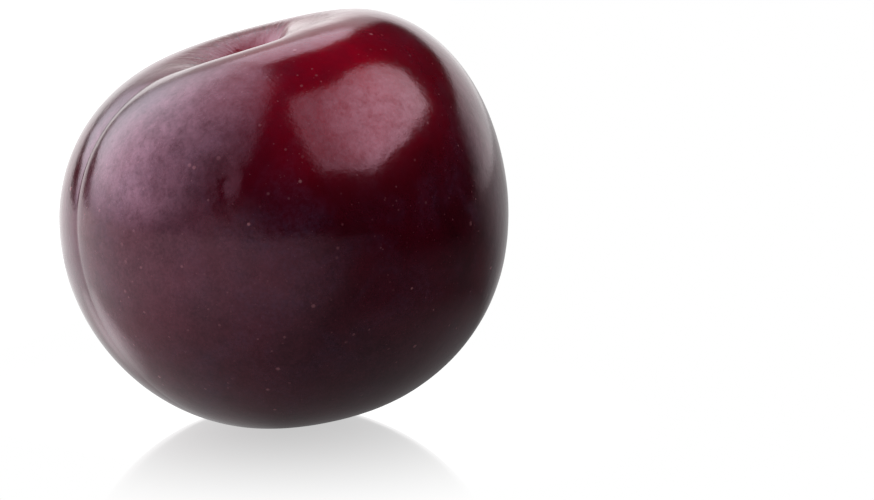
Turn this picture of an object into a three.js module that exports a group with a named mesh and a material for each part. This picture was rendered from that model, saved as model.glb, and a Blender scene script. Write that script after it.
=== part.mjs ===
// A ripe whole plum at its real size, in millimetres, with +Z up.
//
// The fruit is one closed body. Each point of its skin lies at a distance from the middle of the
// fruit that a smooth formula gives for each direction, so lobes, suture, stem cavity and blossom
// end all come from the dimensions below. It rests on the flattened part of its blossom end, and
// the origin is on that flat spot, straight below the middle of the fruit.

import * as THREE from 'three';
import { mergeVertices } from 'three/addons/utils/BufferGeometryUtils.js';

// Reach of the flesh from the middle: to the suture, to the back, to each cheek and along the core.
const SUTURE_REACH = 31.0;
const BACK_REACH = 31.2;
const CHEEK_REACH = 30.4;
const STEM_REACH = 26.7;
const BLOSSOM_REACH = 29.5;

// Shares of the radius: how full the shoulders are, how the form tapers and how it leans.
const FULLNESS = 0.0292;
const SHOULDER_FULLNESS = 0.0136;
const TAPER = 0.0067;
const LEAN = -0.0751;
const SHOULDER_LEAN = -0.0799;
const QUARTER_HOLLOW = -0.0217;

// The bowl that the stalk stood in, and the round scar that it left on the floor of the bowl.
const CAVITY_DEPTH = 6.4;
const CAVITY_SPREAD = 0.333;
const SCAR_DEPTH = 0.35;
const SCAR_RIM_HEIGHT = 0.2;
const SCAR_RADIUS = 1.6;

// The flattened blossom end.
const BLOSSOM_FLATTENING = 0.8;
const BLOSSOM_SPREAD = 0.32;

// The suture: a broad trough with a fine line along its floor, deepest at the stem.
const TROUGH_DEPTH = 1.78;
const TROUGH_SPREAD = 0.369;
const LINE_DEPTH = 0.45;
const LINE_SPREAD = 0.063;
const LINE_ROUNDING = 0.003;
const SUTURE_SWAY = -0.069;
const SUTURE_FADE = 0.12;

// How the fruit rests: the lean of its core, which way it leans and which way the suture faces.
const CORE_LEAN = THREE.MathUtils.degToRad(9.85);
const LEANS_TOWARDS = THREE.MathUtils.degToRad(153.3);
const SUTURE_FACES = THREE.MathUtils.degToRad(208.3);
const FLAT_SPOT_DEPTH = 0.45;

// The mesh: splits along each edge of an icosahedron, and how far its points crowd to the suture
// and to the stem.
const EDGE_SPLITS = 17;
const SUTURE_CROWDING = 0.5;
const SUTURE_CROWDING_SPREAD = 0.3;
const STEM_CROWDING = 0.35;

const SKIN_COLOUR = 0x4a0d18;
const SKIN_ROUGHNESS = 0.28;

function bell(distance, spread) {
  return Math.exp(-((distance / spread) ** 2));
}

// Chord of the unit sphere from a direction to the pole at z = 1 or z = -1.
function chordToPole(z, pole) {
  return Math.sqrt(Math.max(0, 2 * (1 - pole * z)));
}

// Distance to the smooth flesh in a unit direction: x to the suture, y across it, z to the stem.
function fleshRadius(x, y, z) {
  const suture = 1 / SUTURE_REACH ** 2;
  const back = 1 / BACK_REACH ** 2;
  const stem = 1 / STEM_REACH ** 2;
  const blossom = 1 / BLOSSOM_REACH ** 2;
  const alongX = x * x * (suture + back + (suture - back) * x) / 2;
  const alongY = (y / CHEEK_REACH) ** 2;
  const alongZ = z * z * (stem + blossom + (stem - blossom) * z) / 2;
  const around = x * x + y * y;
  const swell = 4 * around * z * z * (FULLNESS + SHOULDER_FULLNESS * z)
    + TAPER * z * around
    + x * z * z * (LEAN + SHOULDER_LEAN * z)
    + 4 * QUARTER_HOLLOW * x * x * y * y;
  return (1 + swell) / Math.sqrt(alongX + alongY + alongZ);
}

// Depth of the suture below the smooth flesh.
function sutureDepth(x, y, z) {
  const across = y - SUTURE_SWAY * x * z;
  const onSutureSide = 1 / (1 + Math.exp(-x / SUTURE_FADE));
  const towardsStem = (1 + z) / 2;
  const rounded = Math.hypot(across, LINE_ROUNDING);
  const trough = TROUGH_DEPTH * bell(across, TROUGH_SPREAD);
  const line = LINE_DEPTH * Math.exp(-rounded / LINE_SPREAD);
  return onSutureSide * towardsStem * (trough + line);
}

// Depth of the bowl at the stem, with the scar's pit and its raised rim on the floor.
function stemDepth(z) {
  const chord = chordToPole(z, 1);
  const scarSpread = SCAR_RADIUS / (STEM_REACH - CAVITY_DEPTH);
  const bowl = CAVITY_DEPTH * bell(chord, CAVITY_SPREAD);
  const pit = (SCAR_DEPTH + SCAR_RIM_HEIGHT) * bell(chord, scarSpread);
  const rim = SCAR_RIM_HEIGHT * bell(chord, 2 * scarSpread);
  return bowl + pit - rim;
}

function blossomDepth(z) {
  return BLOSSOM_FLATTENING * bell(chordToPole(z, -1), BLOSSOM_SPREAD);
}

function skinRadius(x, y, z) {
  return fleshRadius(x, y, z) - sutureDepth(x, y, z) - stemDepth(z) - blossomDepth(z);
}

// Moves a unit direction so that more of the mesh lies near the suture and the stem.
function crowd(direction) {
  const onSutureSide = 1 / (1 + Math.exp(-direction.x / SUTURE_CROWDING_SPREAD));
  const pull = SUTURE_CROWDING * onSutureSide * (1 - direction.y ** 2);
  direction.y *= 1 - pull;
  direction.z += STEM_CROWDING * Math.max(0, direction.z) ** 3;
  return direction.normalize();
}

function plumGeometry() {
  const sphere = new THREE.IcosahedronGeometry(1, EDGE_SPLITS - 1);
  sphere.deleteAttribute('normal');
  sphere.deleteAttribute('uv');
  const skin = mergeVertices(sphere);
  const position = skin.getAttribute('position');
  const direction = new THREE.Vector3();
  for (let i = 0; i < position.count; i += 1) {
    direction.fromBufferAttribute(position, i);
    crowd(direction);
    direction.multiplyScalar(skinRadius(direction.x, direction.y, direction.z));
    position.setXYZ(i, direction.x, direction.y, direction.z);
  }
  return skin;
}

// Turns the fruit about its core so that the suture faces its way, then leans the core.
function restingPose() {
  const turn = new THREE.Quaternion().setFromAxisAngle(new THREE.Vector3(0, 0, 1), SUTURE_FACES);
  const hinge = new THREE.Vector3(-Math.sin(LEANS_TOWARDS), Math.cos(LEANS_TOWARDS), 0);
  const lean = new THREE.Quaternion().setFromAxisAngle(hinge, CORE_LEAN);
  return lean.multiply(turn);
}

// Lifts the fruit onto the plane z = 0 and presses its lowest part flat against that plane.
function settle(geometry) {
  geometry.computeBoundingBox();
  const floor = geometry.boundingBox.min.z + FLAT_SPOT_DEPTH;
  geometry.translate(0, 0, -floor);
  const position = geometry.getAttribute('position');
  for (let i = 0; i < position.count; i += 1) {
    position.setZ(i, Math.max(0, position.getZ(i)));
  }
  geometry.computeVertexNormals();
}

function makePlum() {
  const geometry = plumGeometry();
  geometry.applyQuaternion(restingPose());
  settle(geometry);
  const material = new THREE.MeshStandardMaterial({
    color: SKIN_COLOUR,
    roughness: SKIN_ROUGHNESS,
    metalness: 0,
  });
  const plum = new THREE.Mesh(geometry, material);
  plum.name = 'plum';
  return plum;
}

const fruit = new THREE.Group();
fruit.add(makePlum());

export default fruit;
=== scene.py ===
import math

import bmesh
import bpy
import numpy as np
from mathutils import Matrix, Vector, noise


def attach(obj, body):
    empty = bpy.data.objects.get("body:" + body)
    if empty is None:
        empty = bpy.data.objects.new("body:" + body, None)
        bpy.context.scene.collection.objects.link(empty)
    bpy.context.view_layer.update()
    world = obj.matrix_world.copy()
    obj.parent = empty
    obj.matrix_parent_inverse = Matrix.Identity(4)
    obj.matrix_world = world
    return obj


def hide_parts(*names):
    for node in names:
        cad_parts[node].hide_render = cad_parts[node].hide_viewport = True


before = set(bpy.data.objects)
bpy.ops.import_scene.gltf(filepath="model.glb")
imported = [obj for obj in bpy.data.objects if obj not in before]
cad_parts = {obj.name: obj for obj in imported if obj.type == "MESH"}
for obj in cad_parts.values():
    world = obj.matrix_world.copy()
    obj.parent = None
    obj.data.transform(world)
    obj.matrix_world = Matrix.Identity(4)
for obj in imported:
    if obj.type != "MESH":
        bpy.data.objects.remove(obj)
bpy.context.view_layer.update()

MM = 0.001

# Reach of the flesh from the middle: to the suture, to the back, to each cheek and along the core.
SUTURE_REACH = 31.0 * MM
BACK_REACH = 31.2 * MM
CHEEK_REACH = 30.4 * MM
STEM_REACH = 26.7 * MM
BLOSSOM_REACH = 29.5 * MM

# Shares of the radius: how full the shoulders are, how the form tapers and how it leans.
FULLNESS = 0.0292
SHOULDER_FULLNESS = 0.0136
TAPER = 0.0067
LEAN = -0.0751
SHOULDER_LEAN = -0.0799
QUARTER_HOLLOW = -0.0217

# The bowl that the stalk stood in, and the round scar that it left on the floor of the bowl.
CAVITY_DEPTH = 6.4 * MM
CAVITY_SPREAD = 0.333
SCAR_DEPTH = 0.35 * MM
SCAR_RIM_HEIGHT = 0.2 * MM
SCAR_RADIUS = 1.6 * MM

# The flattened blossom end.
BLOSSOM_FLATTENING = 0.8 * MM
BLOSSOM_SPREAD = 0.32

# The suture: a broad trough with a fine line along its floor, deepest at the stem.
TROUGH_DEPTH = 1.78 * MM
TROUGH_SPREAD = 0.369
LINE_DEPTH = 0.45 * MM
LINE_SPREAD = 0.063
LINE_ROUNDING = 0.003
SUTURE_SWAY = -0.069
SUTURE_FADE = 0.12

# How the fruit rests: the lean of its core, which way it leans and which way the suture faces.
CORE_LEAN = math.radians(9.85)
LEANS_TOWARDS = math.radians(153.3)
SUTURE_FACES = math.radians(208.3)
FLAT_SPOT_DEPTH = 0.45 * MM

# The fine mesh of the skin, and how far its points crowd to the suture and to the stem.
SKIN_SUBDIVISIONS = 7
SUTURE_CROWDING = 0.5
SUTURE_CROWDING_SPREAD = 0.3
STEM_CROWDING = 0.35

# Relief too fine for the solid: soft waves of the flesh, each with its length and height, and
# puckers round the scar, with their depth and how far from the scar they lie.
WAVES = ((7.0 * MM, 0.028 * MM), (3.2 * MM, 0.011 * MM))
WAVES_START = (0.0, 1.9, 5.3)
WAVES_STEP = (3.7, 0.0, 0.0)
PUCKER_DEPTH = 0.05 * MM
PUCKER_SPREAD = 0.30
PUCKER_CLEAR = 0.09

# Two sets of puckers: their number, strength and start, and how far and how often they sway.
PUCKER_SETS = ((9, 1.0, 0.0, 1.3, 2), (14, 0.7, 2.0, 1.0, 3))

# A saddle between the lobes at one end of the bowl, in the resting frame, from the fruit's middle:
# where its edge over the bowl is and how high, then its slopes away from the edge, down to the
# bowl and across.
SADDLE_X = 0.5 * MM
SADDLE_Z = 25.15 * MM
SADDLE_RISE = 0.22
SADDLE_WALL = 2.0
SADDLE_TILT = 0.035

# How round the saddle's edge is and its seam with the lobes, and where it ends.
SADDLE_EDGE = 1.3 * MM
SADDLE_ROUNDING = 0.4 * MM
SADDLE_END = 6.0 * MM
BOWL_CENTRE = (-3.1 * MM, 1.5 * MM)
SADDLE_RADIUS = 11.0 * MM
SADDLE_FADE = 0.7 * MM

# A shallow dent on the cheek: where it is, its depth, and its half height and half width as
# shares of the radius. Fine crinkles lie where it has at least the least share of its depth.
DIMPLE_TOWARDS = (0.60, 0.76, 0.25)
DIMPLE_DEPTH = 0.16 * MM
DIMPLE_HEIGHT = 0.11
DIMPLE_WIDTH = 0.065
CRINKLE_SIZE = 1.1 * MM
CRINKLE_DEPTH = 0.10 * MM
LEAST_DENT_SHARE = 0.02

# Where the skin is redder and lighter, a blush that is partly painted light from the lamps above: two
# directions on one upper shoulder, each with its spread and strength, the heights between which the red
# comes in, so that the skin is darker towards the bottom, and a little of it all round.
BLUSH_AND_LIGHT_SPOTS = (
    ((-0.12, 0.75, 0.655), math.radians(26), 0.93),
    ((0.08, 0.94, 0.30), math.radians(14.5), 0.66),
)
BLUSH_AND_LIGHT_FROM = -0.15
BLUSH_AND_LIGHT_TO = 0.45
BLUSH_AND_LIGHT_AROUND = 0.05

# Where the thin bluish bloom is strongest: one patch beside the suture.
BLOOM_TOWARDS = (0.84, 0.39, 0.37)
BLOOM_SPREAD = 0.22

# Fine wrinkles that run from the rim of the bowl to the scar: how long they are and where they lie.
WRINKLE_STRETCH = 0.5
WRINKLES_AT = 0.36
WRINKLES_SPREAD = 0.09

# The reddish skin of the bowl reaches past the bowl by this factor.
BOWL_COLOUR_REACH = 1.3

# The camera: the photo's frame, where the middle of the fruit falls in it, and the view.
FRAME_WIDTH = 874
FRAME_HEIGHT = 500
MIDDLE_PIXEL = (283.0, 212.7)
LENS = 135.0
SENSOR = 36.0
NEAREST_SEEN = 0.01
FARTHEST_SEEN = 50.0
CAMERA_DISTANCE = 0.4447
CAMERA_ELEVATION = math.radians(12.0)


def bell(distance, spread):
    return np.exp(-((distance / spread) ** 2))


def chord_to_pole(z, pole):
    """Chord of the unit sphere from a direction to the pole at z = 1 or z = -1."""
    return np.sqrt(np.maximum(0.0, 2.0 * (1.0 - pole * z)))


def flesh_radius(x, y, z):
    """Distance to the smooth flesh in a unit direction: x to the suture, y across it, z to the stem."""
    suture = 1 / SUTURE_REACH ** 2
    back = 1 / BACK_REACH ** 2
    stem = 1 / STEM_REACH ** 2
    blossom = 1 / BLOSSOM_REACH ** 2
    along_x = x * x * (suture + back + (suture - back) * x) / 2
    along_y = (y / CHEEK_REACH) ** 2
    along_z = z * z * (stem + blossom + (stem - blossom) * z) / 2
    around = x * x + y * y
    swell = 4 * around * z * z * (FULLNESS + SHOULDER_FULLNESS * z)
    swell = swell + TAPER * z * around
    swell = swell + x * z * z * (LEAN + SHOULDER_LEAN * z)
    swell = swell + 4 * QUARTER_HOLLOW * x * x * y * y
    return (1 + swell) / np.sqrt(along_x + along_y + along_z)


def suture_share(x, z):
    """How strong the suture is: 1 at the stem, fading to the blossom end, and none on the back."""
    return (1 + z) / 2 / (1 + np.exp(-x / SUTURE_FADE))


def across_suture(x, y, z):
    return y - SUTURE_SWAY * x * z


def suture_depth(x, y, z):
    """Depth of the suture below the smooth flesh."""
    across = across_suture(x, y, z)
    trough = TROUGH_DEPTH * bell(across, TROUGH_SPREAD)
    line = LINE_DEPTH * np.exp(-np.hypot(across, LINE_ROUNDING) / LINE_SPREAD)
    return suture_share(x, z) * (trough + line)


def stem_depth(z):
    """Depth of the bowl at the stem, with the scar's pit and its raised rim on the floor."""
    chord = chord_to_pole(z, 1)
    scar_spread = SCAR_RADIUS / (STEM_REACH - CAVITY_DEPTH)
    bowl = CAVITY_DEPTH * bell(chord, CAVITY_SPREAD)
    pit = (SCAR_DEPTH + SCAR_RIM_HEIGHT) * bell(chord, scar_spread)
    rim = SCAR_RIM_HEIGHT * bell(chord, 2 * scar_spread)
    return bowl + pit - rim


def blossom_depth(z):
    return BLOSSOM_FLATTENING * bell(chord_to_pole(z, -1), BLOSSOM_SPREAD)


def puckers(x, y, z):
    """Fine folds that run down the bowl to the scar."""
    chord = chord_to_pole(z, 1)
    turn = np.arctan2(y, x)
    folds = np.zeros(len(x))
    for count, strength, start, sway, sways in PUCKER_SETS:
        folds += strength * np.cos(count * turn + start + sway * np.sin(sways * turn))
    place = bell(chord, PUCKER_SPREAD) * (1 - bell(chord, PUCKER_CLEAR))
    return PUCKER_DEPTH * place * folds


def soft_max(first, second, rounding):
    """The larger of two heights, with the crease between them rounded."""
    return (first + second + np.sqrt((first - second) ** 2 + rounding ** 2)) / 2


def raise_saddle(points):
    """Lifts the floor of the bowl's end to a saddle that runs level between the two lobes."""
    x, y, z = points.T
    past = x - SADDLE_X
    rise = -soft_max(-SADDLE_RISE * past, -SADDLE_WALL * past, SADDLE_EDGE)
    saddle = SADDLE_Z - SADDLE_TILT * y + rise
    from_centre = np.hypot(x - BOWL_CENTRE[0], y - BOWL_CENTRE[1])
    share = 1 / (1 + np.exp((x - SADDLE_END) / SADDLE_FADE))
    share = share / (1 + np.exp((from_centre - SADDLE_RADIUS) / SADDLE_FADE))
    share = share * (z > 0)
    points[:, 2] = z + share * (soft_max(z, saddle, SADDLE_ROUNDING) - z)


def dimple(x, y, z):
    """One shallow dent on the cheek beside the suture, taller than it is wide."""
    middle = Vector(DIMPLE_TOWARDS).normalized()
    upwards = (Vector((0, 0, 1)) - middle * middle.z).normalized()
    sideways = upwards.cross(middle)
    along = (x * upwards.x + y * upwards.y + z * upwards.z) / DIMPLE_HEIGHT
    across = (x * sideways.x + y * sideways.y + z * sideways.z) / DIMPLE_WIDTH
    facing = x * middle.x + y * middle.y + z * middle.z > 0
    share = facing * np.exp(-along ** 2 - across ** 2)
    points = np.stack([x, y, z], axis=1) * CHEEK_REACH
    crinkles = np.zeros(len(points))
    for number in np.flatnonzero(share > LEAST_DENT_SHARE):
        crinkles[number] = noise.noise(Vector(points[number]) / CRINKLE_SIZE)
    return share * (DIMPLE_DEPTH + CRINKLE_DEPTH * crinkles)


def blush_and_painted_light(x, y, z):
    """How red and lit the skin looks, a blush partly painted with light from above: most on one upper
    shoulder, and least towards the blossom end.
    """
    share = np.full(len(x), BLUSH_AND_LIGHT_AROUND)
    for direction, spread, strength in BLUSH_AND_LIGHT_SPOTS:
        across = Vector(direction).normalized()
        towards_red = np.clip(x * across.x + y * across.y + z * across.z, -1, 1)
        share += strength * bell(np.arccos(towards_red), spread)
    height = np.clip((z - BLUSH_AND_LIGHT_FROM) / (BLUSH_AND_LIGHT_TO - BLUSH_AND_LIGHT_FROM), 0, 1)
    return np.minimum(1, share) * height * height * (3 - 2 * height)


def waves(points):
    """Soft uneven swells of the skin, the same on every run."""
    height = np.zeros(len(points))
    for number, (length, size) in enumerate(WAVES):
        offset = Vector(WAVES_START) + number * Vector(WAVES_STEP)
        values = [noise.noise(Vector(point) / length + offset) for point in points]
        height += size * np.array(values)
    return height


def crowd(directions):
    """Moves unit directions so that more of the mesh lies near the suture and the stem."""
    moved = directions.copy()
    on_suture_side = 1 / (1 + np.exp(-directions[:, 0] / SUTURE_CROWDING_SPREAD))
    moved[:, 1] *= 1 - SUTURE_CROWDING * on_suture_side * (1 - directions[:, 1] ** 2)
    moved[:, 2] += STEM_CROWDING * np.maximum(0, directions[:, 2]) ** 3
    return moved / np.linalg.norm(moved, axis=1, keepdims=True)


def resting_pose():
    """Turns the fruit about its core so that the suture faces its way, then leans the core."""
    hinge = Vector((-math.sin(LEANS_TOWARDS), math.cos(LEANS_TOWARDS), 0))
    turn = Matrix.Rotation(SUTURE_FACES, 3, "Z")
    lean = Matrix.Rotation(CORE_LEAN, 3, hinge)
    return np.array(lean @ turn)


def make_skin():
    """The fruit's fine surface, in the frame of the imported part."""
    ball = bmesh.new()
    bmesh.ops.create_icosphere(ball, subdivisions=SKIN_SUBDIVISIONS, radius=1.0)
    mesh = bpy.data.meshes.new("plum_skin")
    ball.to_mesh(mesh)
    ball.free()
    places = np.zeros(len(mesh.vertices) * 3)
    mesh.vertices.foreach_get("co", places)
    directions = places.reshape(-1, 3)
    directions = crowd(directions / np.linalg.norm(directions, axis=1, keepdims=True))
    x, y, z = directions.T
    radius = flesh_radius(x, y, z) - suture_depth(x, y, z) - stem_depth(z) - blossom_depth(z)
    radius = radius - puckers(x, y, z) - dimple(x, y, z)
    points = directions * radius[:, None]
    radius = radius + waves(points)
    points = directions * radius[:, None]
    resting = points @ resting_pose().T
    raise_saddle(resting)
    middle = -(resting[:, 2].min() + FLAT_SPOT_DEPTH)
    resting[:, 2] = np.maximum(0.0, resting[:, 2] + middle)
    mesh.vertices.foreach_set("co", resting.ravel())
    turn = np.arctan2(y, x)
    chord = chord_to_pole(z, 1)
    keep_place(mesh, "fruit_place", points)
    keep_share(mesh, "cavity", bell(chord, BOWL_COLOUR_REACH * CAVITY_SPREAD))
    keep_place(mesh, "bowl_place", np.stack([np.cos(turn), np.sin(turn), WRINKLE_STRETCH * chord], axis=1))
    keep_share(mesh, "wrinkled", bell(chord - WRINKLES_AT, WRINKLES_SPREAD))
    keep_share(mesh, "scar", bell(chord, SCAR_RADIUS / STEM_REACH))
    # The blush, partly painted light: redder and lighter on the upper shoulder, darker towards the bottom.
    keep_share(mesh, "blush_and_light", blush_and_painted_light(x, y, z))
    across = np.linalg.norm(directions - np.array(BLOOM_TOWARDS), axis=1)
    keep_share(mesh, "bloom_patch", bell(across, BLOOM_SPREAD))
    mesh.shade_smooth()
    mesh.update()
    skin = bpy.data.objects.new("plum_skin", mesh)
    bpy.context.scene.collection.objects.link(skin)
    return skin, middle


def keep_place(mesh, name, values):
    attribute = mesh.attributes.new(name, "FLOAT_VECTOR", "POINT")
    attribute.data.foreach_set("vector", values.astype(np.float32).ravel())


def keep_share(mesh, name, values):
    attribute = mesh.attributes.new(name, "FLOAT", "POINT")
    attribute.data.foreach_set("value", values.astype(np.float32))


class Nodes:
    """A short way to add shader nodes to one tree and to link them."""

    def __init__(self, tree):
        self.tree = tree
        tree.nodes.clear()

    def add(self, kind, settings=None, **inputs):
        node = self.tree.nodes.new(kind)
        for name, value in (settings or {}).items():
            setattr(node, name, value)
        for name, value in inputs.items():
            self.set(node, name, value)
        return node

    def set(self, node, name, value):
        socket = node.inputs[name if isinstance(name, int) else name.replace("_", " ")]
        if isinstance(value, bpy.types.NodeSocket):
            self.tree.links.new(value, socket)
        else:
            socket.default_value = value

    def math(self, operation, first, second=0.0, third=0.0):
        node = self.add("ShaderNodeMath", {"operation": operation})
        for place, value in enumerate((first, second, third)):
            self.set(node, place, value)
        return node.outputs[0]

    def ramp(self, value, low, high, start=0.0, end=1.0, smooth=True):
        kind = "SMOOTHSTEP" if smooth else "LINEAR"
        node = self.add("ShaderNodeMapRange", {"interpolation_type": kind, "clamp": True})
        for name, number in (("Value", value), ("From Min", low), ("From Max", high),
                             ("To Min", start), ("To Max", end)):
            self.set(node, name, number)
        return node.outputs["Result"]

    def mix(self, share, first, second):
        node = self.add("ShaderNodeMix", {"data_type": "RGBA"})
        self.set(node, 0, share)
        self.set(node, 6, first)
        self.set(node, 7, second)
        return node.outputs[2]

    def attribute(self, name, output):
        node = self.add("ShaderNodeAttribute", {"attribute_name": name})
        return node.outputs[output]

    def noise(self, place, size, detail, roughness, distortion=0.0):
        node = self.add("ShaderNodeTexNoise", Vector=place, Scale=1 / size, Detail=detail,
                        Roughness=roughness, Distortion=distortion)
        return node.outputs["Fac"]


def colour(red, green, blue):
    return (red, green, blue, 1.0)


# Colours of the skin, as linear red, green and blue. Where there are two, blotches go from one to the other.
DARK_SKIN = ((0.016, 0.0004, 0.003), (0.045, 0.0006, 0.005))
RED_SKIN = ((0.155, 0.0003, 0.006), (0.25, 0.0005, 0.010))
MOTTLE_COLOUR = (0.060, 0.0004, 0.008)
GRAIN_COLOUR = (0.12, 0.001, 0.011)
BOWL_COLOUR = (0.30, 0.010, 0.025)
# Painted shade: the dark colour laid into the creases of the bowl's folds.
CREASE_SHADE_COLOUR = (0.04, 0.001, 0.005)
BLOOM_COLOUR = (0.35, 0.36, 0.75)
DOT_COLOUR = (0.42, 0.17, 0.19)
SCAR_COLOUR = (0.16, 0.09, 0.045)
GLOSS_TINT = (1.0, 0.53, 0.70)

# How strongly each of them covers the skin below it.
MOTTLE_SHARE = 0.30
GRAIN_SHARE = 0.15
BOWL_SHARE = 0.6
CREASE_SHADE_SHARE = 0.8
BLOOM_SHARE = 0.035
SCAR_SHARE = 0.85

# Patterns of the skin: the length, detail, roughness and distortion of each noise, and the two
# levels of it between which the pattern comes in.
BLOTCHES = ((14 * MM, 3.0, 0.55, 0.4), (0.3, 0.7))
MOTTLE = ((2.4 * MM, 5.0, 0.62, 0.3), (0.3, 0.7))
GRAIN = ((0.40 * MM, 3.0, 0.6), (0.25, 0.75))
GRIT = ((1.0 * MM, 4.0, 0.7), (0.3, 0.7))
BLOOM = ((9 * MM, 4.0, 0.62, 0.6), (0.42, 0.72))
BLOOM_GRAIN = ((0.7 * MM, 4.0, 0.75), (0.35, 0.70))

# The folds in the bowl, as noise in the bowl's own space, and the levels at which their creases get painted
# shade.
FOLDS = (0.075, 4.0, 0.60, 0.35)
CREASE_SHADE_LEVELS = (0.44, 0.30)

# How much more bloom there is on its patch, and how much of the bloom its grain can take away.
BLOOM_PATCH_SHARE = 0.45
BLOOM_GRAIN_SHARE = 0.8

# The pale dots, in three sizes: spacing, smallest and largest radius, and strength.
DOTS = (
    (0.8 * MM, 0.07 * MM, 0.16 * MM, 0.16),
    (1.7 * MM, 0.14 * MM, 0.28 * MM, 0.28),
    (3.6 * MM, 0.24 * MM, 0.42 * MM, 0.55),
)

# Share of the dots that are of the smallest size, share of a dot that is evenly pale, and the
# strength of the faintest dots.
SMALLEST_DOTS = 0.2
DOT_CORE = 0.45
FAINTEST_DOT = 0.25

# Roughness of clean skin, and what bloom, mottle and the scar add to it.
SKIN_ROUGHNESS = 0.12
BLOOM_ROUGHNESS = 0.07
MOTTLE_ROUGHNESS = 0.03
SCAR_ROUGHNESS = 0.4

# The skin's index of refraction, then the strength of its gloss: a level, what the grain adds and
# the wrinkles take, and the unevenness by mottle and grit, first everywhere, then what is added on
# the upper half of the fruit, which comes in between two heights.
SKIN_IOR = 1.70
GLOSS_LEVEL = 0.435
GRAIN_GLOSS = 0.13
WRINKLE_GLOSS = -0.24
MOTTLE_UNEVENNESS = (0.08, 0.11)
GRIT_UNEVENNESS = (0.02, 0.15)
UPPER_HALF = (-4 * MM, 10 * MM)

# Relief of the skin: two patterns with their lengths, details and heights, then dots and folds.
FINE_RELIEF = (0.5 * MM, 3.0, 0.007 * MM)
COARSE_RELIEF = (1.6 * MM, 4.0, 0.022 * MM)
RELIEF_ROUGHNESS = 0.55
DOT_RELIEF = 0.02 * MM
FOLD_RELIEF = 0.12 * MM


def pattern(nodes, place, kind):
    """A share that comes in between two levels of a noise."""
    noise_settings, levels = kind
    return nodes.ramp(nodes.noise(place, *noise_settings), *levels)


def lenticels(nodes, place, spacing, smallest, largest):
    """Small round pale dots of uneven size, one at most in each cell."""
    cells = nodes.add("ShaderNodeTexVoronoi", {"feature": "F1", "voronoi_dimensions": "3D"},
                      Vector=place, Scale=1 / spacing, Randomness=1.0)
    draw = nodes.add("ShaderNodeSeparateColor", Color=cells.outputs["Color"])
    radius = nodes.ramp(draw.outputs[0], SMALLEST_DOTS, 1.0, smallest / spacing, largest / spacing,
                        smooth=False)
    share = nodes.math("DIVIDE", cells.outputs["Distance"], radius)
    dot = nodes.ramp(share, DOT_CORE, 1.0, 1.0, 0.0)
    strength = nodes.ramp(draw.outputs[1], 0.0, 1.0, FAINTEST_DOT, 1.0, smooth=False)
    return nodes.math("MULTIPLY", dot, strength)


def skin_dots(nodes, place):
    """The pale dots of all sizes, as one share."""
    dots = 0.0
    for spacing, smallest, largest, strength in DOTS:
        layer = nodes.math("MULTIPLY", lenticels(nodes, place, spacing, smallest, largest), strength)
        dots = nodes.math("MAXIMUM", dots, layer)
    return dots


def skin_bloom(nodes, place, blush_and_light):
    """The thin bluish bloom, in grainy patches where the skin isn't red."""
    patches = pattern(nodes, place, BLOOM)
    patches = nodes.math("MULTIPLY_ADD", nodes.attribute("bloom_patch", "Fac"), BLOOM_PATCH_SHARE, patches)
    grain = nodes.math("MULTIPLY_ADD", pattern(nodes, place, BLOOM_GRAIN), BLOOM_GRAIN_SHARE,
                       1 - BLOOM_GRAIN_SHARE)
    bloom = nodes.math("MULTIPLY", patches, grain)
    return nodes.math("MULTIPLY", bloom, nodes.math("SUBTRACT", 1.0, blush_and_light))


def cover(nodes, base, share, strength, shade):
    """Lays one more colour over the skin."""
    return nodes.mix(nodes.math("MULTIPLY", share, strength), base, colour(*shade))


def uneven_gloss(nodes, gloss, texture, upper, unevenness):
    """Makes the gloss uneven by a texture, more so on the upper half."""
    everywhere, more_above = unevenness
    strength = nodes.math("MULTIPLY_ADD", upper, more_above, everywhere)
    return nodes.math("MULTIPLY_ADD", nodes.math("SUBTRACT", texture, 0.5), strength, gloss)


def skin_relief(nodes, place, dots, folds, wrinkled):
    """Height of the skin's finest relief, as a bumped normal."""
    length, detail, rise = FINE_RELIEF
    height = nodes.math("MULTIPLY", nodes.noise(place, length, detail, RELIEF_ROUGHNESS), rise)
    length, detail, rise = COARSE_RELIEF
    height = nodes.math("MULTIPLY_ADD", nodes.noise(place, length, detail, RELIEF_ROUGHNESS), rise, height)
    height = nodes.math("MULTIPLY_ADD", dots, DOT_RELIEF, height)
    height = nodes.math("MULTIPLY_ADD", nodes.math("MULTIPLY", folds, wrinkled), FOLD_RELIEF, height)
    bump = nodes.add("ShaderNodeBump", Strength=1.0, Distance=1.0, Height=height)
    return bump.outputs["Normal"]


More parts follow.
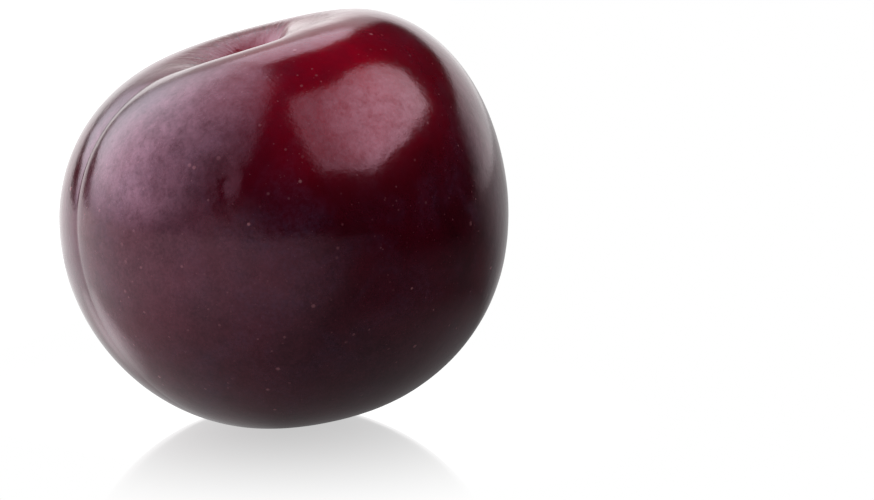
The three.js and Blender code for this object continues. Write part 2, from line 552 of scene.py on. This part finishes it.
def skin_material():
    """Glossy dark skin, redder on one shoulder partly by painted light from above, with dots, bloom, and
    wrinkles in the bowl with painted shade in their creases.
    """
    material = bpy.data.materials.new("ripe_plum_skin")
    material.use_nodes = True
    nodes = Nodes(material.node_tree)
    place = nodes.attribute("fruit_place", "Vector")
    cavity = nodes.attribute("cavity", "Fac")
    scar = nodes.attribute("scar", "Fac")
    wrinkled = nodes.attribute("wrinkled", "Fac")
    blush_and_light = nodes.attribute("blush_and_light", "Fac")

    blotches = pattern(nodes, place, BLOTCHES)
    mottle = pattern(nodes, place, MOTTLE)
    grain = pattern(nodes, place, GRAIN)
    grit = pattern(nodes, place, GRIT)
    folds = nodes.noise(nodes.attribute("bowl_place", "Vector"), *FOLDS)
    # Painted shade in the creases of the folds, where the bowl is wrinkled.
    painted_crease_shade = nodes.math("MULTIPLY", nodes.ramp(folds, *CREASE_SHADE_LEVELS), wrinkled)
    bloom = skin_bloom(nodes, place, blush_and_light)
    dots = skin_dots(nodes, place)

    dark = nodes.mix(blotches, *(colour(*shade) for shade in DARK_SKIN))
    red = nodes.mix(blotches, *(colour(*shade) for shade in RED_SKIN))
    # Part blush, part painted light: redder and lighter on the upper shoulder that faces the lamps, darker
    # towards the bottom.
    base = nodes.mix(blush_and_light, dark, red)
    base = cover(nodes, base, mottle, MOTTLE_SHARE, MOTTLE_COLOUR)
    base = cover(nodes, base, grain, GRAIN_SHARE, GRAIN_COLOUR)
    base = cover(nodes, base, cavity, BOWL_SHARE, BOWL_COLOUR)
    # Lays the painted shade into the creases of the bowl.
    base = cover(nodes, base, painted_crease_shade, CREASE_SHADE_SHARE, CREASE_SHADE_COLOUR)
    base = cover(nodes, base, bloom, BLOOM_SHARE, BLOOM_COLOUR)
    base = nodes.mix(dots, base, colour(*DOT_COLOUR))
    base = cover(nodes, base, scar, SCAR_SHARE, SCAR_COLOUR)

    roughness = nodes.math("MULTIPLY_ADD", bloom, BLOOM_ROUGHNESS, SKIN_ROUGHNESS)
    roughness = nodes.math("MULTIPLY_ADD", mottle, MOTTLE_ROUGHNESS, roughness)
    roughness = nodes.math("MULTIPLY_ADD", scar, SCAR_ROUGHNESS, roughness)

    upper = nodes.ramp(nodes.add("ShaderNodeSeparateXYZ", Vector=place).outputs["Z"], *UPPER_HALF)
    gloss = nodes.math("MULTIPLY_ADD", grain, GRAIN_GLOSS, GLOSS_LEVEL)
    gloss = uneven_gloss(nodes, gloss, mottle, upper, MOTTLE_UNEVENNESS)
    gloss = uneven_gloss(nodes, gloss, grit, upper, GRIT_UNEVENNESS)
    gloss = nodes.math("MULTIPLY_ADD", wrinkled, WRINKLE_GLOSS, gloss)

    shader = nodes.add("ShaderNodeBsdfPrincipled", Base_Color=base, Roughness=roughness, IOR=SKIN_IOR,
                       Normal=skin_relief(nodes, place, dots, folds, wrinkled))
    nodes.set(shader, "Specular IOR Level", gloss)
    nodes.set(shader, "Specular Tint", colour(*GLOSS_TINT))
    nodes.add("ShaderNodeOutputMaterial", Surface=shader.outputs["BSDF"])
    return material


def make_plum():
    skin, middle = make_skin()
    skin.data.materials.append(skin_material())
    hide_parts("plum")
    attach(skin, "root")
    return Vector((0, 0, middle))


def make_camera(middle):
    """Stands where the middle of the fruit falls on its pixel of the photo, with no shift."""
    data = bpy.data.cameras.new("camera")
    data.lens = LENS
    data.sensor_width = SENSOR
    data.clip_start = NEAREST_SEEN
    data.clip_end = FARTHEST_SEEN
    camera = bpy.data.objects.new("camera", data)
    bpy.context.scene.collection.objects.link(camera)
    per_pixel = CAMERA_DISTANCE * SENSOR / LENS / FRAME_WIDTH
    right = Vector((1, 0, 0))
    up = Vector((0, math.sin(CAMERA_ELEVATION), math.cos(CAMERA_ELEVATION)))
    back = right.cross(up)
    sideways = (FRAME_WIDTH / 2 - MIDDLE_PIXEL[0]) * per_pixel
    upwards = (MIDDLE_PIXEL[1] - FRAME_HEIGHT / 2) * per_pixel
    place = middle + sideways * right + upwards * up + CAMERA_DISTANCE * back
    turn = Matrix((right, up, back)).transposed()
    camera.matrix_world = Matrix.LocRotScale(place, turn.to_quaternion(), None)
    bpy.context.scene.camera = camera


# Corners of the lamps and of the backdrop's edge, as azimuths and elevations seen from the fruit.
LEFT_WINDOW = ((-58, -4), (-47, 7), (-20, 26), (-24, 52), (-86, 81), (-149, 68), (-157, 42), (-153, 30),
               (-145, -3))
LEFT_WINDOW_FOOT = ((-52, 7), (-30, 9), (-20, 14), (-20, 30), (-52, 30))
RIGHT_BOX = ((95, 76), (56, 68), (47, 56), (52, 43), (65, 29), (128, 25), (159, 30), (164, 48))
RIGHT_BOX_TIP = ((-170, 79), (86, 73), (141, 57), (159, 30), (170, 53), (-178, 66))
BACK_STRIP = ((-22, 30), (-26, 57), (1, 56), (7, 42), (3, 32))
BACK_GAP = ((-28, 12), (-28, 34), (6, 36), (6, 12))
BACKDROP_EDGE = ((28, 17), (-8, 16), (-48, -4))

# A place well inside the backdrop, which tells the two sides of its edge apart.
BACKDROP_INSIDE = (0, -30)

# How soft the edges are, as the sine of half the angle that they take.
LEFT_WINDOW_SOFTNESS = 0.035
RIGHT_BOX_SOFTNESS = 0.02
BACK_GAP_SOFTNESS = 0.04
OTHER_SOFTNESS = 0.03

LEFT_WINDOW_GLOW = 3.1
RIGHT_BOX_GLOW = 1.6
BACK_STRIP_GLOW = 2.0
BACK_GAP_GLOW = 0.75
BACKDROP_GLOW = 1.35
STUDIO_GLOW = 0.01
COOL_TINT = (0.97, 1.0, 1.09)

# Places in the studio, as azimuths and elevations, from which the lights' fall-off is measured.
LEFT = (-78, 30)
LEFT_DIM_SIDE = (-119, 34)
RIGHT = (95, 38)
HAZE_SIDE = (-110, 0)
BEHIND = (0, 0)
BEHIND_LEFT = (-40, 0)

# How the lights fall off: between two cosines of the angle from such a place, the share goes from
# the third number to the fourth. In the heights, the first two numbers are sines of the elevation.
LEFT_WINDOW_FALLOFF = (0.48, 0.95, 0.15, 1.0)
LEFT_WINDOW_DIM_FALLOFF = (0.87, 0.99, 1.0, 0.58)
LEFT_WINDOW_HEIGHTS = ((-0.04, 0.24, 0.55, 1.0), (0.68, 0.84, 1.0, 0.68))
RIGHT_BOX_FALLOFF = (0.72, 0.98, 0.60, 1.75)
HAZE_FALLOFF = (0.35, 0.88, 0.0, 1.0)
HAZE_HEIGHTS = (-0.02, 0.38, 0.66, 0.0)
BACKDROP_FALLOFF = (0.5, 0.85, 0.0, 1.0)
BACKDROP_LEFT_FALLOFF = (0.35, 0.85, 0.82, 1.0)


def direction_of(azimuth, elevation):
    """Unit vector: azimuth 0 is away from the camera and 90 to its right; elevation is above level."""
    a = math.radians(azimuth)
    e = math.radians(elevation)
    return Vector((math.sin(a) * math.cos(e), math.cos(a) * math.cos(e), math.sin(e)))


def towards(nodes, direction, axis):
    """How far a vector reaches along an axis: for two unit vectors, the cosine of their angle."""
    product = nodes.add("ShaderNodeVectorMath", {"operation": "DOT_PRODUCT"})
    nodes.set(product, 0, direction)
    nodes.set(product, 1, axis)
    return product.outputs["Value"]


def falling_off(nodes, direction, middle, falloff, smooth=True):
    """A share that changes with the angle from one place in the studio."""
    return nodes.ramp(towards(nodes, direction, direction_of(*middle)), *falloff, smooth=smooth)


def within(nodes, direction, corners, softness, closed=True):
    """1 in directions inside straight edges drawn through the corners, and 0 outside them."""
    rays = [direction_of(*corner) for corner in corners]
    share = None
    pairs = list(zip(rays, rays[1:]))
    if closed:
        pairs.append((rays[-1], rays[0]))
    inside = sum(rays, Vector()) if closed else direction_of(*BACKDROP_INSIDE)
    for first, second in pairs:
        across = first.cross(second).normalized()
        if across.dot(inside) < 0:
            across.negate()
        edge = nodes.ramp(towards(nodes, direction, across), -softness, softness)
        share = edge if share is None else nodes.math("MULTIPLY", share, edge)
    return share


def left_window_light(nodes, direction, heights, pane):
    """The tall window, dimmer at its foot, at its top and on the side nearer to the camera."""
    hot = falling_off(nodes, direction, LEFT, LEFT_WINDOW_FALLOFF)
    for falloff in LEFT_WINDOW_HEIGHTS:
        hot = nodes.math("MULTIPLY", hot, nodes.ramp(heights, *falloff))
    dimmer = falling_off(nodes, direction, LEFT_DIM_SIDE, LEFT_WINDOW_DIM_FALLOFF)
    hot = nodes.math("MULTIPLY", hot, dimmer)
    return nodes.math("MULTIPLY", nodes.math("MULTIPLY", pane, hot), LEFT_WINDOW_GLOW)


def right_box_light(nodes, direction):
    """The soft box, with a thin tip over the top, brightest in its middle."""
    box = nodes.math("MAXIMUM", within(nodes, direction, RIGHT_BOX, RIGHT_BOX_SOFTNESS),
                     within(nodes, direction, RIGHT_BOX_TIP, OTHER_SOFTNESS))
    return nodes.math("MULTIPLY", box, falling_off(nodes, direction, RIGHT, RIGHT_BOX_FALLOFF))


def haze_light(nodes, direction, heights):
    """A soft glow low on the left, outside the window."""
    return nodes.math("MULTIPLY", nodes.ramp(heights, *HAZE_HEIGHTS),
                      falling_off(nodes, direction, HAZE_SIDE, HAZE_FALLOFF))


def backdrop_light(nodes, direction):
    """The bright backdrop behind the fruit, below its slanting upper edge."""
    share = nodes.math("MULTIPLY", falling_off(nodes, direction, BEHIND, BACKDROP_FALLOFF),
                       falling_off(nodes, direction, BEHIND_LEFT, BACKDROP_LEFT_FALLOFF))
    below_edge = within(nodes, direction, BACKDROP_EDGE, OTHER_SOFTNESS, closed=False)
    return nodes.math("MULTIPLY", below_edge, share)


def make_world():
    """A tall window, a soft box, a strip and a bright backdrop in a dim studio, but white to the
    camera and in the table's sharp mirror image."""
    world = bpy.data.worlds.new("studio")
    bpy.context.scene.world = world
    world.use_nodes = True
    nodes = Nodes(world.node_tree)
    light_path = nodes.add("ShaderNodeLightPath")
    seen = nodes.math("MAXIMUM", light_path.outputs["Is Camera Ray"], light_path.outputs["Is Singular Ray"])
    direction = nodes.add("ShaderNodeTexCoord").outputs["Generated"]
    heights = nodes.add("ShaderNodeSeparateXYZ", Vector=direction).outputs["Z"]
    pane = nodes.math("MAXIMUM", within(nodes, direction, LEFT_WINDOW, LEFT_WINDOW_SOFTNESS),
                      within(nodes, direction, LEFT_WINDOW_FOOT, OTHER_SOFTNESS))
    strip = within(nodes, direction, BACK_STRIP, OTHER_SOFTNESS)
    gap = within(nodes, direction, BACK_GAP, BACK_GAP_SOFTNESS)
    level = nodes.math("MULTIPLY_ADD", backdrop_light(nodes, direction), BACKDROP_GLOW, STUDIO_GLOW)
    level = nodes.math("MULTIPLY_ADD", right_box_light(nodes, direction), RIGHT_BOX_GLOW, level)
    level = nodes.math("MULTIPLY_ADD", strip, BACK_STRIP_GLOW, level)
    level = nodes.math("MAXIMUM", nodes.math("MULTIPLY", gap, BACK_GAP_GLOW), level)
    level = nodes.math("MAXIMUM", left_window_light(nodes, direction, heights, pane), level)
    level = nodes.math("MAXIMUM", haze_light(nodes, direction, heights), level)
    level = nodes.math("MAXIMUM", seen, level)
    cool = nodes.math("MULTIPLY", nodes.math("MAXIMUM", pane, strip), nodes.math("SUBTRACT", 1.0, seen))
    tint = nodes.mix(cool, colour(1.0, 1.0, 1.0), colour(*COOL_TINT))
    background = nodes.add("ShaderNodeBackground", Color=tint, Strength=level)
    nodes.add("ShaderNodeOutputWorld", Surface=background.outputs[0])


# The table: its size, and how strongly and how far from the middle it mirrors the fruit.
FLOOR_RADIUS = 0.8
FLOOR_CORNERS = 96
MIRROR_SHARE = 0.46
MIRROR_REACH = 0.052

# Its light, by the side of the fruit: a low share all round, more on the left, less on the right.
FLOOR_LEFT = (-75, 0)
FLOOR_NEAR_FALLOFF = (-0.85, -0.20, 0.08, 0.48)
FLOOR_LEFT_FALLOFF = (-0.20, 1.0, 0.0, 0.80)
FLOOR_RIGHT = (100, 0)
FLOOR_RIGHT_FALLOFF = (0.70, 0.95, 0.0, 1.0)
FLOOR_BACK = (-35, 0)
FLOOR_BACK_FALLOFF = (0.55, 0.9, 0.0, 1.0)

# Its light, by the distance from the fruit in metres.
FLOOR_SHADE = (0.010, 0.085, 0.40, 1.0)
FLOOR_RIGHT_FADE = (0.07, 0.24, 0.0, 0.9)
FLOOR_BACK_RISE = (0.04, 0.12, 0.0, BACKDROP_GLOW)
FLOOR_FOOT_GLOW = (0.03, 0.09, 0.18, 0.0)

# A brighter stripe behind the fruit on the left: the way across it, how far it lies from the
# middle and its edge, then the way along it, where it comes in and where it ends, in metres.
STRIPE_ACROSS = (39, 0)
STRIPE_OFFSET = 0.0232
STRIPE_EDGE = (0.002, 0.015, 1.0, 0.0)
STRIPE_ALONG = (-51, 0)
STRIPE_START = (0.0, 0.035, 0.0, 1.6)
STRIPE_END = (0.055, 0.085, 1.0, 0.0)


def make_floor():
    mesh = bpy.data.meshes.new("floor")
    ring = bmesh.new()
    bmesh.ops.create_circle(ring, cap_ends=True, segments=FLOOR_CORNERS, radius=FLOOR_RADIUS)
    ring.to_mesh(mesh)
    ring.free()
    floor = bpy.data.objects.new("floor", mesh)
    bpy.context.scene.collection.objects.link(floor)
    floor.data.materials.append(floor_material())


def floor_stripe(nodes, place):
    """The table's light in its brighter stripe."""
    across = nodes.math("ADD", towards(nodes, place, direction_of(*STRIPE_ACROSS)), STRIPE_OFFSET)
    along = towards(nodes, place, direction_of(*STRIPE_ALONG))
    stripe = nodes.ramp(nodes.math("ABSOLUTE", across), *STRIPE_EDGE)
    for falloff in (STRIPE_START, STRIPE_END):
        stripe = nodes.math("MULTIPLY", stripe, nodes.ramp(along, *falloff))
    return stripe


def floor_light(nodes, place, distance):
    """The light that the table gives the fruit from below."""
    outwards = nodes.add("ShaderNodeVectorMath", {"operation": "NORMALIZE"})
    nodes.set(outwards, 0, place)
    outwards = outwards.outputs["Vector"]
    side = nodes.math("ADD", falling_off(nodes, outwards, FLOOR_LEFT, FLOOR_NEAR_FALLOFF),
                      falling_off(nodes, outwards, FLOOR_LEFT, FLOOR_LEFT_FALLOFF, smooth=False))
    fade = nodes.math("MULTIPLY", nodes.ramp(distance, *FLOOR_RIGHT_FADE),
                      falling_off(nodes, outwards, FLOOR_RIGHT, FLOOR_RIGHT_FALLOFF))
    side = nodes.math("MULTIPLY", side, nodes.math("SUBTRACT", 1.0, fade))
    lit = nodes.math("MULTIPLY", side, nodes.ramp(distance, *FLOOR_SHADE))
    far = nodes.math("MULTIPLY", nodes.ramp(distance, *FLOOR_BACK_RISE),
                     falling_off(nodes, outwards, FLOOR_BACK, FLOOR_BACK_FALLOFF))
    lit = nodes.math("MAXIMUM", lit, far)
    lit = nodes.math("MAXIMUM", lit, floor_stripe(nodes, place))
    return nodes.math("MAXIMUM", lit, nodes.ramp(distance, *FLOOR_FOOT_GLOW))


def floor_material():
    """A white glowing table, mirror-like close to the fruit, so that the mirror image fades."""
    material = bpy.data.materials.new("floor")
    material.use_nodes = True
    nodes = Nodes(material.node_tree)
    place = nodes.add("ShaderNodeNewGeometry").outputs["Position"]
    from_middle = nodes.add("ShaderNodeVectorMath", {"operation": "LENGTH"})
    nodes.set(from_middle, 0, place)
    distance = from_middle.outputs["Value"]
    seen = nodes.add("ShaderNodeLightPath").outputs["Is Camera Ray"]
    level = nodes.math("MAXIMUM", seen, floor_light(nodes, place, distance))
    glow = nodes.add("ShaderNodeEmission", Color=colour(1, 1, 1), Strength=level)
    gloss = nodes.add("ShaderNodeBsdfGlossy", Color=colour(1, 1, 1), Roughness=0.0)
    share = nodes.math("MULTIPLY", nodes.ramp(distance, 0.0, MIRROR_REACH, MIRROR_SHARE, 0.0), seen)
    wet = nodes.add("ShaderNodeMixShader")
    nodes.set(wet, 0, share)
    nodes.set(wet, 1, glow.outputs[0])
    nodes.set(wet, 2, gloss.outputs[0])
    nodes.add("ShaderNodeOutputMaterial", Surface=wet.outputs[0])
    return material


fruit_middle = make_plum()
make_camera(fruit_middle)
make_world()
make_floor()
bpy.context.scene.view_settings.view_transform = "Standard"
bpy.context.scene.view_settings.look = "None"
